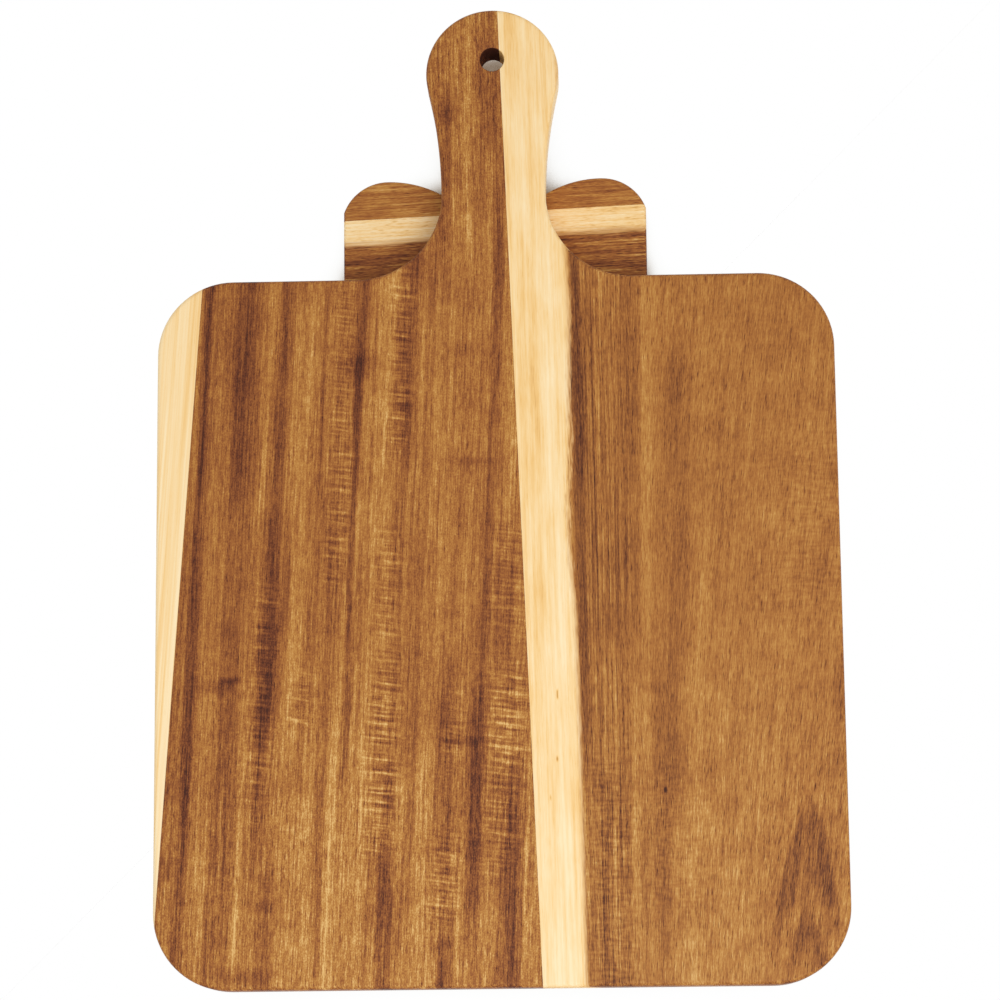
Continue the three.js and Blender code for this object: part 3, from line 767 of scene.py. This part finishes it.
def leaf_shape(first_knuckle):
    """One leaf, pin along X, plate towards +Y and let in towards +Z, with every second knuckle."""
    plate_start = barrel_radius + knuckle_gap
    pitch = 2 * half_hinge / knuckle_count
    knuckles = []
    for k in range(first_knuckle, knuckle_count, 2):
        start = -half_hinge + k * pitch + (knuckle_gap / 2 if k else 0)
        end = -half_hinge + (k + 1) * pitch - (knuckle_gap / 2 if k < knuckle_count - 1 else 0)
        knuckles.append((start, end))
    stations = sorted({-half_hinge, half_hinge, *(x for pair in knuckles for x in pair)})
    roll = arc(0, 0, barrel_radius, quarter, roll_end, 30) + arc(0, 0, bore_radius, roll_end, quarter, 30)
    plate = [(plate_start, bore_radius), (leaf_reach, bore_radius),
             (leaf_reach, barrel_radius), (plate_start, barrel_radius)]
    shape = bmesh.new()
    sections = [[shape.verts.new((x, *p)) for p in plate] for x in stations]
    for i, (here, there) in enumerate(zip(sections, sections[1:])):
        for a, b in ((0, 1), (1, 2), (2, 3)):
            shape.faces.new((here[a], here[b], there[b], there[a]))
        if (stations[i], stations[i + 1]) not in knuckles:
            shape.faces.new((here[3], here[0], there[0], there[3]))
            continue
        rolled = [[shape.verts.new((stations[i + j], *p)) for p in roll] for j in (0, 1)]
        loops = [[here[3], *rolled[0], here[0]], [there[3], *rolled[1], there[0]]]
        for a in range(len(loops[0]) - 1):
            band = shape.faces.new((loops[0][a], loops[0][a + 1], loops[1][a + 1], loops[1][a]))
            band.smooth = True
        shape.faces.new(loops[0])
        shape.faces.new(loops[1])
    shape.faces.new(sections[0])
    shape.faces.new(sections[-1])
    return shape


def bare_metal(name, tones, length, width, detail, dull):
    """A metal whose dullness and colour change with its tool marks.
    The marks have this length along X and this width, in millimetres."""
    metal, tree, shader = new_material(name)
    marks = add(tree, "ShaderNodeCombineXYZ", dict(enumerate(millimetres(tree))))
    scale = (1 / length, 1 / width, 1 / width)
    marks = add(tree, "ShaderNodeVectorMath", {0: marks, 1: scale}, operation="MULTIPLY")
    marks = add(tree, "ShaderNodeTexNoise", {"Vector": marks, "Scale": 1, "Detail": detail})
    dull = add(tree, "ShaderNodeMapRange", {"Value": marks, "To Min": dull[0], "To Max": dull[1]})
    tree.links.new(dull, shader.inputs["Roughness"])
    tree.links.new(coloured(tree, marks, tones), shader.inputs["Base Color"])
    shader.inputs["Metallic"].default_value = 1
    return metal


# Rolled and tumbled brass: a satin yellow with faint lines along the hinge.
brass_tones = [(0.3, "#b08a43"), (0.7, "#d2b26c")]
brass = bare_metal("tumbled_brass", brass_tones, length=4, width=0.25, detail=3, dull=(0.24, 0.44))
for part, first_knuckle, turn in (("board", 0, 0), ("leg", 1, 2 * quarter)):
    pattern = shown(f"{part}_leaf", leaf_shape(first_knuckle))
    sinks = bmesh.new()
    head = screw_head_radius + fit_gap
    shank = screw_radius + fit_gap
    sink = [(0, -past), (head, -past), (head, screw_head_rim), (shank, screw_head_rim + head - shank)]
    sink += [(shank, past), (0, past)]
    for across_leaf in (-screw_across, screw_across):
        lathe(sinks, sink, 32, Matrix.Translation((across_leaf, screw_out, bore_radius)))
    cut_away(pattern, shown("sinks", sinks))
    pattern.data.set_sharp_from_angle(angle=crease)
    pattern.data.materials.append(brass)
    for hinge in hinge_names:
        leg = hinge.split("_")[0]
        low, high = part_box(f"{hinge}_{part}_leaf")
        leaf = placed(f"{hinge}_{part}_leaf_brass", pattern.data.copy())
        place = Matrix.Translation(((low.x + high.x) / 2, *hinge_line[leg].yz))
        leaf.data.transform(place @ Matrix.Rotation(turn, 4, "Y"))
        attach(leaf, "board" if part == "board" else f"{leg}_leg")
        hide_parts(f"{hinge}_{part}_leaf")
    bpy.data.objects.remove(pattern)

# The hinge pins
# Drawn steel wire, cut to the barrel's length with the ends chamfered, and pressed into the knuckles of the
# board's leaf.
pin_radius = 1.2 * mm
pin_chamfer = 0.4 * mm
# Drawn wire: a plain grey shine with fine lines along it.
steel_tones = [(0.3, "#a9a9a6"), (0.7, "#c6c6c3")]
steel = bare_metal("drawn_steel_wire", steel_tones, length=3.3, width=0.17, detail=2, dull=(0.2, 0.4))
for hinge in hinge_names:
    low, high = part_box(f"{hinge}_pin")
    half = (high.x - low.x) / 2
    profile = [(0, -half), (pin_radius - pin_chamfer, -half), (pin_radius, -half + pin_chamfer)]
    profile += [(radius, -height) for radius, height in reversed(profile)]
    pin = bmesh.new()
    lathe(pin, profile, 32, Matrix.Translation((low + high) / 2) @ Matrix.Rotation(quarter, 4, "Y"))
    pin = shown(f"{hinge}_pin_wire", pin)
    pin.data.set_sharp_from_angle(angle=crease)
    pin.data.materials.append(steel)
    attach(pin, "board")
    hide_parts(f"{hinge}_pin")

# The screws
# Sixteen countersunk brass wood screws, two to a leaf, with a slotted head, a plain shank and a cut thread
# that tapers to a point. Each is driven home in its pilot hole, so its slot stops at an angle of its own.
screw_length = 10 * mm
screw_tip = 2.4 * mm
thread_start = 3.6 * mm
thread_pitch = 1.1 * mm
thread_depth = 0.35 * mm
rings_per_turn = 7
slot_width = 0.7 * mm
slot_depth = 0.6 * mm

# Turned brass: brighter than the leaf, as it is cut and not rolled.
turned_tones = [(0.3, "#bd9549"), (0.7, "#dfc27c")]
turned_brass = bare_metal("turned_brass", turned_tones, length=0.67, width=0.67, detail=3, dull=(0.18, 0.36))

thread_length = screw_length - thread_start
ring_count = round(thread_length / thread_pitch * rings_per_turn)
levels = [thread_start + thread_length * i / ring_count for i in range(ring_count)]
profile = [(0, 0), (screw_head_radius, 0), (screw_head_radius, screw_head_rim)]
profile += [(screw_radius, screw_head_rim + screw_head_radius - screw_radius)]
profile += [(screw_radius * min(1, (screw_length - level) / screw_tip), level) for level in levels]
profile += [(0, screw_length)]
screw = bmesh.new()
lathe(screw, profile, 20, Matrix())
for point in screw.verts:
    turn = math.atan2(point.co.y, point.co.x) / (4 * quarter)
    from_crest = abs(2 * ((point.co.z / thread_pitch - turn) % 1) - 1)
    run_in = min(1, max(0, (point.co.z - thread_start) / thread_pitch))
    point.co.xy *= 1 - from_crest * run_in * thread_depth / screw_radius
screw = shown("screw", screw)
slot = bmesh.new()
block(slot, Vector((-past, -slot_width / 2, -past)), Vector((past, slot_width / 2, slot_depth)))
cut_away(screw, shown("slot", slot))
screw.data.set_sharp_from_angle(angle=crease)

# Two screws to a leaf, two leaves to a row, and as many rows as the body has.
driven = bpy.data.node_groups.new("driven_screws", "GeometryNodeTree")
driven.interface.new_socket("Geometry", in_out="OUTPUT", socket_type="NodeSocketGeometry")
input_kinds = {
    "Screw": "Object", "Material": "Material", "First Place": "Vector", "Screw Spacing": "Vector",
    "Hinge Spacing": "Vector", "Row Spacing": "Vector", "Rows": "Int", "Tip Over": "Float", "Seed": "Int",
}
screw_inputs = {}
for name, kind in input_kinds.items():
    socket = driven.interface.new_socket(name, in_out="INPUT", socket_type=f"NodeSocket{kind}")
    screw_inputs[name] = socket.identifier
given = add(driven, "NodeGroupInput").node.outputs
row_line = {"Count": given["Rows"], "Start Location": given["First Place"], "Offset": given["Row Spacing"]}
places = add(driven, "GeometryNodeMeshLine", row_line)
for spacing in ("Hinge Spacing", "Screw Spacing"):
    pair = add(driven, "GeometryNodeMeshLine", {"Count": 2, "Offset": given[spacing]})
    places = add(driven, "GeometryNodeInstanceOnPoints", {"Points": places, "Instance": pair})
    places = add(driven, "GeometryNodeRealizeInstances", {"Geometry": places})
spin = add(driven, "FunctionNodeRandomValue", {2: 0, 3: 4 * quarter, "Seed": given["Seed"]}, out=1)
spin = add(driven, "ShaderNodeCombineXYZ", {0: given["Tip Over"], 2: spin})
spin = add(driven, "FunctionNodeEulerToRotation", {0: spin})
form = add(driven, "GeometryNodeObjectInfo", {"Object": given["Screw"]}, out="Geometry")
driven_in = {"Points": places, "Instance": form, "Rotation": spin}
driven_in = add(driven, "GeometryNodeInstanceOnPoints", driven_in)
driven_in = add(driven, "GeometryNodeRealizeInstances", {"Geometry": driven_in})
driven_in = add(driven, "GeometryNodeSetMaterial", {"Geometry": driven_in, "Material": given["Material"]})
add(driven, "NodeGroupOutput", {0: driven_in})

hinge_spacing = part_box("rear_right_hinge_pin")[0].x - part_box("rear_left_hinge_pin")[0].x
row_spacing = hinge_line["rear"].y - hinge_line["front"].y
screw_rows = {"board": ("front", "rear"), "rear_leg": ("rear",), "front_leg": ("front",)}
for seed, (body, legs) in enumerate(screw_rows.items()):
    part = "board" if body == "board" else "leg"
    hinges = [f"{leg}_{side}_hinge" for leg in legs for side in ("left", "right")]
    nodes = [f"{hinge}_{part}_screw_{i}" for hinge in hinges for i in (1, 2)]
    boxes = [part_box(node) for node in nodes]
    first = [min((low[i] + high[i]) / 2 for low, high in boxes) for i in (0, 1)]
    head_level = boxes[0][0].z if part == "board" else boxes[0][1].z
    screws = placed(f"{body}_screws", bpy.data.meshes.new(f"{body}_screws"))
    change = screws.modifiers.new("driven", "NODES")
    change.node_group = driven
    sizes = {
        "Screw": screw, "Material": turned_brass, "First Place": (*first, head_level),
        "Screw Spacing": (2 * screw_across, 0, 0), "Hinge Spacing": (hinge_spacing, 0, 0),
        "Row Spacing": (0, row_spacing, 0), "Rows": len(legs),
        "Tip Over": 0.0 if part == "board" else 2 * quarter, "Seed": seed,
    }
    for name, value in sizes.items():
        change[screw_inputs[name]] = value
    settle(screws)
    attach(screws, body)
    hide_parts(*nodes)
bpy.data.objects.remove(screw)

# The catch magnets
# Nickel-plated discs, pressed flush into the board and the leg face to face, that hold a folded leg shut.
magnet_edge_round = 0.3 * mm
# Nickel plate: a bright grey mirror, dulled by light scuffs.
nickel_tones = [(0.3, "#bfc1c1"), (0.7, "#dadbdb")]
nickel = bare_metal("nickel_plate", nickel_tones, length=1.25, width=1.25, detail=5, dull=(0.12, 0.34))
for leg in leg_names:
    for part in ("board", "leg"):
        low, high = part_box(f"{leg}_{part}_magnet")
        half = (high.z - low.z) / 2
        flat_radius = (high.x - low.x) / 2 - magnet_edge_round
        rim = arc(flat_radius, half - magnet_edge_round, magnet_edge_round, 0, quarter, 4)
        profile = [(0, -half), *[(p.x, -p.y) for p in reversed(rim)], *[(p.x, p.y) for p in rim], (0, half)]
        disc = bmesh.new()
        lathe(disc, profile, 48, Matrix.Translation((low + high) / 2))
        disc = shown(f"{leg}_{part}_magnet_disc", disc)
        disc.data.set_sharp_from_angle(angle=crease)
        disc.data.materials.append(nickel)
        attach(disc, "board" if part == "board" else f"{leg}_leg")
        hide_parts(f"{leg}_{part}_magnet")

# The stage
# A plain white surface under the tray, soft overhead light and a camera above and a little in front of it.
floor_half = 30
floor_gap = 0.2 * mm  # below the legs
floor_shape = bmesh.new()
bmesh.ops.create_grid(floor_shape, x_segments=1, y_segments=1, size=floor_half)
bmesh.ops.translate(floor_shape, verts=floor_shape.verts, vec=(0, 0, -floor_gap))
floor = shown("floor", floor_shape)


def shows_backdrop(tree):
    """1 for rays that see the white backdrop straight, mirrored or through glass, and 0 for the rest."""
    path = add(tree, "ShaderNodeLightPath").node.outputs
    straight = {0: path["Is Camera Ray"], 1: path["Is Glossy Ray"]}
    straight = add(tree, "ShaderNodeMath", straight, operation="MAXIMUM")
    return add(tree, "ShaderNodeMath", {0: straight, 1: path["Is Transmission Ray"]}, operation="MAXIMUM")


# White paper: it shows as the white behind it, tinted where the tray shuts out the sky close above it.
shadow_reach = 30 * mm
shadow_tones = [
    (0.1, "#5f4c3a"), (0.35, "#7a6249"), (0.43, "#d8d3cc"), (0.49, "#f4f3f1"), (0.56, "#fcfcfb"),
    (0.68, "#ffffff"),
]
paper_white = 0.9
paper = bpy.data.materials.new("white_paper")
paper.use_nodes = True
tree = paper.node_tree
tree.nodes.clear()
matt = add(tree, "ShaderNodeBsdfDiffuse", {"Color": (paper_white, paper_white, paper_white, 1)})
open_sky = add(tree, "ShaderNodeAmbientOcclusion", {"Distance": shadow_reach}, out="AO", samples=32)
seen = add(tree, "ShaderNodeBsdfTransparent", {"Color": coloured(tree, open_sky, shadow_tones)})
open_air = add(tree, "ShaderNodeBsdfTransparent", {"Color": (1, 1, 1, 1)})
surface = add(tree, "ShaderNodeMixShader", {0: shows_backdrop(tree), 1: matt, 2: seen})
shadow_ray = add(tree, "ShaderNodeLightPath", out="Is Shadow Ray")
surface = add(tree, "ShaderNodeMixShader", {0: shadow_ray, 1: surface, 2: open_air})
add(tree, "ShaderNodeOutputMaterial", {"Surface": surface})
floor.data.materials.append(paper)

# Even light from all round, a little stronger from above.
light_from_below = 0.45
light_from_above = 0.66
horizon = 0.1  # half the height over which one turns into the other
studio = bpy.data.worlds.new("studio")
bpy.context.scene.world = studio
studio.use_nodes = True
tree = studio.node_tree
tree.nodes.clear()
rising = add(tree, "ShaderNodeSeparateXYZ", {0: add(tree, "ShaderNodeTexCoord", out="Object")}, out=2)
fill = {"From Min": -horizon, "From Max": horizon, "To Min": light_from_below, "To Max": light_from_above}
fill = add(tree, "ShaderNodeMapRange", {"Value": rising, **fill})
level = add(tree, "ShaderNodeMapRange", {"Value": shows_backdrop(tree), "To Min": fill, "To Max": 1})
sky = add(tree, "ShaderNodeBackground", {"Color": (1, 1, 1, 1), "Strength": level})
add(tree, "ShaderNodeOutputWorld", {"Surface": sky})

key = bpy.data.lights.new("overhead_softbox", "AREA")
key.shape = "RECTANGLE"
key.size = 1.2
key.size_y = 0.9
key.energy = 9.7
lamp = placed("overhead_softbox", key)
lamp.location = (0.35, -0.55, 1.35)
lamp.rotation_euler = (Vector((0, 0, 0)) - lamp.location).to_track_quat("-Z", "Y").to_euler()

view_elevation = math.radians(79.356)
view_azimuth = math.radians(8.6123)
view_roll = math.radians(-9.3811)
view_distance = 1428.018 * mm
view_target = Vector((1.51, -6.92, 32.38)) * mm
towards = Vector((math.cos(view_elevation) * math.sin(view_azimuth),
                  -math.cos(view_elevation) * math.cos(view_azimuth), math.sin(view_elevation)))
level_right = Vector((math.cos(view_azimuth), math.sin(view_azimuth), 0))
level_up = towards.cross(level_right)
right = level_right * math.cos(view_roll) + level_up * math.sin(view_roll)
up = level_up * math.cos(view_roll) - level_right * math.sin(view_roll)
lens = bpy.data.cameras.new("camera")
lens.lens = 115.2
lens.sensor_width = 36
camera = placed("camera", lens)
turned = Matrix((right, up, towards)).transposed().to_4x4()
camera.matrix_world = Matrix.Translation(view_target + towards * view_distance) @ turned
bpy.context.scene.camera = camera
bpy.context.scene.view_settings.view_transform = "Standard"
